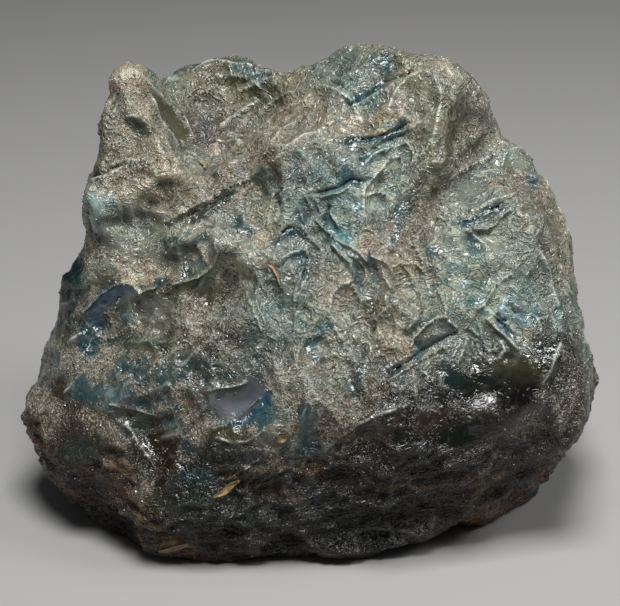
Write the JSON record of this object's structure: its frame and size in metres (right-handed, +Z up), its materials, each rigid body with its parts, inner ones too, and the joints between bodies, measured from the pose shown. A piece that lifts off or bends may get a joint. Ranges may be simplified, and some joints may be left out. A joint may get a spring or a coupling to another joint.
{
  "type": "apatite mineral specimen",
  "caption": "Worn boulder of massive blue-green apatite with a granular brown crust, a sloping front of hollows and ridges, and a flat base to stand on.",
  "frame": {"origin": "the point of the resting surface under the middle of the stone's box", "axes": "+X along the stone's width, to the right seen from the front; +Y from the sloping front to the back; +Z up"},
  "size_m": [0.151, 0.1058, 0.1178],
  "materials": {
    "apatite": "blue-green and olive stone, glossy where it is bare, with a matt sugary crust of grey-brown grains"
  },
  "bodies": {
    "root": {"apatite_boulder": "apatite"}
  },
  "joints": []
}
